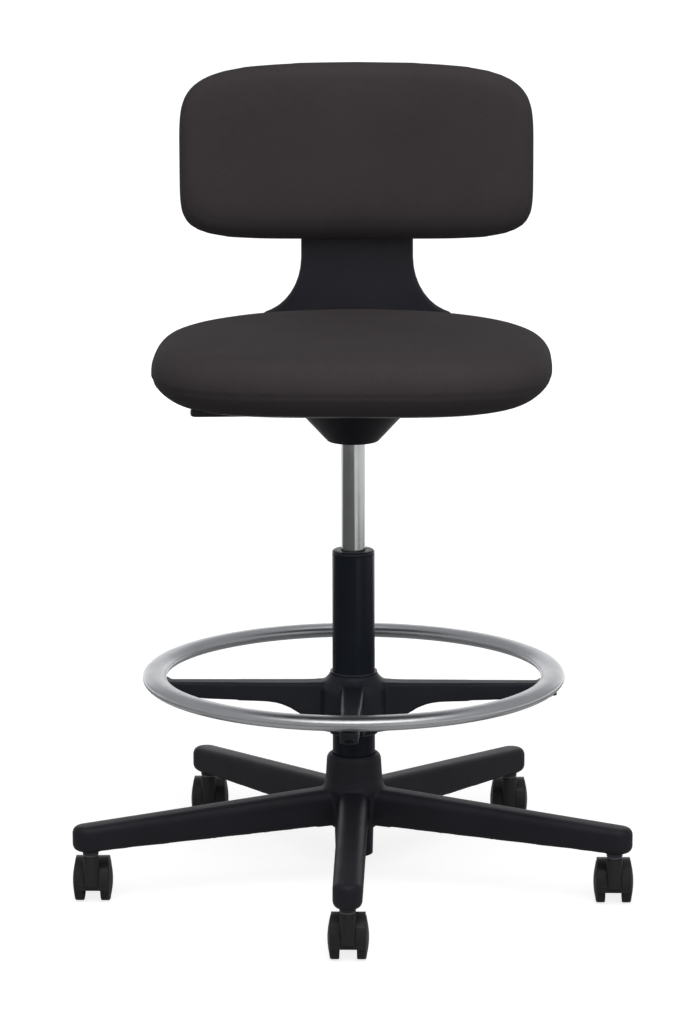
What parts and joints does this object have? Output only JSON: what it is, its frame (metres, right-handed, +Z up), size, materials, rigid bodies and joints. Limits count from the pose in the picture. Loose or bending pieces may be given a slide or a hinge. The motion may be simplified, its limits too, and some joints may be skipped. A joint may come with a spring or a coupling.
{
  "type": "drafting chair",
  "caption": "Height-adjustable swivel drafting chair with upholstered seat and small backrest, chromed foot ring and five-legged base on twin-wheel casters.",
  "frame": {"origin": "on the floor, on the column's axis", "axes": "+Z up along the column, the chair faces -Y, +X to the right seen from the front"},
  "size_m": [0.6552, 0.6498, 0.956],
  "materials": {
    "base_plastic": "moulded glass-filled nylon, fine texture, satin",
    "socket_steel": "zinc plated",
    "column_paint": "black powder coat, satin",
    "bush_plastic": "acetal, smooth",
    "bearing_steel": "hardened steel, bright",
    "tube_steel": "ground steel",
    "valve_metal": "turned",
    "buffer_rubber": "moulded rubber",
    "ring_chrome": "polished chrome on steel tube",
    "spider_plastic": "moulded nylon, fine texture, satin",
    "black_screw": "black oxide",
    "screw_steel": "zinc plated",
    "lift_chrome": "plated, satin",
    "frame_paint": "cast aluminium, black powder coat, satin",
    "spine_plastic": "moulded glass-filled nylon, fine grain",
    "lever_plastic": "moulded, satin",
    "pan_plastic": "moulded polypropylene, fine grain",
    "upholstery": "plain woven charcoal fabric over foam",
    "hood_plastic": "moulded nylon, satin",
    "wheel_plastic": "moulded nylon, satin"
  },
  "bodies": {
    "base": {"base_star": "base_plastic", "caster_sockets": "bush_plastic", "column_tube": "column_paint", "column_guide_bush": "bush_plastic", "lower_bearing_washer": "bearing_steel"},
    "spindle": {"piston_rod": "tube_steel", "piston": "valve_metal", "bearing_ball_cage": "bearing_steel", "upper_bearing_washer": "bearing_steel", "stop_buffer": "buffer_rubber", "rod_clip": "bearing_steel"},
    "ring_liner": {"ring_liner": "bush_plastic"},
    "foot_ring": {"foot_ring": "ring_chrome", "ring_spider": "spider_plastic", "ring_screws": "black_screw", "ring_clamp_screws": "screw_steel"},
    "seat": {"pressure_tube": "lift_chrome", "rod_guide": "valve_metal", "tube_valve_body": "valve_metal", "mechanism_housing": "frame_paint", "lever_pin": "bearing_steel", "seat_pan": "pan_plastic", "seat_cushion": "upholstery", "seat_screws": "screw_steel", "back_support": "spine_plastic"},
    "valve": {"valve_pin": "bearing_steel"},
    "lever": {"height_lever": "tube_steel", "lever_paddle": "lever_plastic"},
    "backrest": {"back_shell": "pan_plastic", "back_cushion": "upholstery", "back_glides": "bush_plastic", "back_screws": "screw_steel"},
    "swivel_1": {"caster_hood_1": "hood_plastic", "caster_stem_1": "socket_steel", "caster_axle_1": "bearing_steel"},
    "left_wheel_1": {"wheel_left_1": "wheel_plastic"},
    "right_wheel_1": {"wheel_right_1": "wheel_plastic"},
    "swivel_2": {"caster_hood_2": "hood_plastic", "caster_stem_2": "socket_steel", "caster_axle_2": "bearing_steel"},
    "left_wheel_2": {"wheel_left_2": "wheel_plastic"},
    "right_wheel_2": {"wheel_right_2": "wheel_plastic"},
    "swivel_3": {"caster_hood_3": "hood_plastic", "caster_stem_3": "socket_steel", "caster_axle_3": "bearing_steel"},
    "left_wheel_3": {"wheel_left_3": "wheel_plastic"},
    "right_wheel_3": {"wheel_right_3": "wheel_plastic"},
    "swivel_4": {"caster_hood_4": "hood_plastic", "caster_stem_4": "socket_steel", "caster_axle_4": "bearing_steel"},
    "left_wheel_4": {"wheel_left_4": "wheel_plastic"},
    "right_wheel_4": {"wheel_right_4": "wheel_plastic"},
    "swivel_5": {"caster_hood_5": "hood_plastic", "caster_stem_5": "socket_steel", "caster_axle_5": "bearing_steel"},
    "left_wheel_5": {"wheel_left_5": "wheel_plastic"},
    "right_wheel_5": {"wheel_right_5": "wheel_plastic"}
  },
  "joints": [
    {"name": "seat_swivel", "type": "hinge", "parent": "base", "child": "spindle", "pos_m": [0, 0, 0.05], "axis": [0, 0, 1], "continuous": true},
    {"name": "seat_height", "type": "slide", "parent": "spindle", "child": "seat", "axis": [0, 0, 1], "range_m": [-0.11, 0.135]},
    {"name": "foot_ring_height", "type": "slide", "parent": "base", "child": "ring_liner", "axis": [0, 0, 1], "range_m": [-0.022, 0.14]},
    {"name": "foot_ring_turn", "type": "hinge", "parent": "ring_liner", "child": "foot_ring", "pos_m": [0, 0, 0.254], "axis": [0, 0, 1], "continuous": true},
    {"name": "height_lever", "type": "hinge", "parent": "seat", "child": "lever", "pos_m": [-0.03, 0, 0.573], "axis": [0, 1, 0], "range_deg": [0, 5.7], "stiffness_Nm_per_rad": 6, "springref_deg": -2.86},
    {"name": "valve_press", "type": "slide", "parent": "seat", "child": "valve", "axis": [0, 0, 1], "range_m": [-0.003, 0]},
    {"name": "backrest_height", "type": "slide", "parent": "seat", "child": "backrest", "axis": [0, 0, 1], "range_m": [-0.02, 0.04]},
    {"name": "caster_swivel_1", "type": "hinge", "parent": "base", "child": "swivel_1", "pos_m": [0, -0.32, 0.06], "axis": [0, 0, 1], "continuous": true},
    {"name": "caster_left_roll_1", "type": "hinge", "parent": "swivel_1", "child": "left_wheel_1", "pos_m": [0, -0.296, 0.025], "axis": [1, 0, 0], "continuous": true},
    {"name": "caster_right_roll_1", "type": "hinge", "parent": "swivel_1", "child": "right_wheel_1", "pos_m": [0, -0.296, 0.025], "axis": [1, 0, 0], "continuous": true},
    {"name": "caster_swivel_2", "type": "hinge", "parent": "base", "child": "swivel_2", "pos_m": [0.30434, -0.09889, 0.06], "axis": [0, 0, 1], "continuous": true},
    {"name": "caster_left_roll_2", "type": "hinge", "parent": "swivel_2", "child": "left_wheel_2", "pos_m": [0.30434, -0.07488, 0.025], "axis": [1, 0, 0], "continuous": true},
    {"name": "caster_right_roll_2", "type": "hinge", "parent": "swivel_2", "child": "right_wheel_2", "pos_m": [0.30434, -0.07488, 0.025], "axis": [1, 0, 0], "continuous": true},
    {"name": "caster_swivel_3", "type": "hinge", "parent": "base", "child": "swivel_3", "pos_m": [0.18809, 0.25888, 0.06], "axis": [0, 0, 1], "continuous": true},
    {"name": "caster_left_roll_3", "type": "hinge", "parent": "swivel_3", "child": "left_wheel_3", "pos_m": [0.18809, 0.28288, 0.025], "axis": [1, 0, 0], "continuous": true},
    {"name": "caster_right_roll_3", "type": "hinge", "parent": "swivel_3", "child": "right_wheel_3", "pos_m": [0.18809, 0.28288, 0.025], "axis": [1, 0, 0], "continuous": true},
    {"name": "caster_swivel_4", "type": "hinge", "parent": "base", "child": "swivel_4", "pos_m": [-0.18809, 0.25888, 0.06], "axis": [0, 0, 1], "continuous": true},
    {"name": "caster_left_roll_4", "type": "hinge", "parent": "swivel_4", "child": "left_wheel_4", "pos_m": [-0.18809, 0.28288, 0.025], "axis": [1, 0, 0], "continuous": true},
    {"name": "caster_right_roll_4", "type": "hinge", "parent": "swivel_4", "child": "right_wheel_4", "pos_m": [-0.18809, 0.28288, 0.025], "axis": [1, 0, 0], "continuous": true},
    {"name": "caster_swivel_5", "type": "hinge", "parent": "base", "child": "swivel_5", "pos_m": [-0.30434, -0.09889, 0.06], "axis": [0, 0, 1], "continuous": true},
    {"name": "caster_left_roll_5", "type": "hinge", "parent": "swivel_5", "child": "left_wheel_5", "pos_m": [-0.30434, -0.07488, 0.025], "axis": [1, 0, 0], "continuous": true},
    {"name": "caster_right_roll_5", "type": "hinge", "parent": "swivel_5", "child": "right_wheel_5", "pos_m": [-0.30434, -0.07488, 0.025], "axis": [1, 0, 0], "continuous": true}
  ],
  "couplings": [
    {"joint": "valve_press", "follows": "height_lever", "m_per_rad": -0.03}
  ]
}
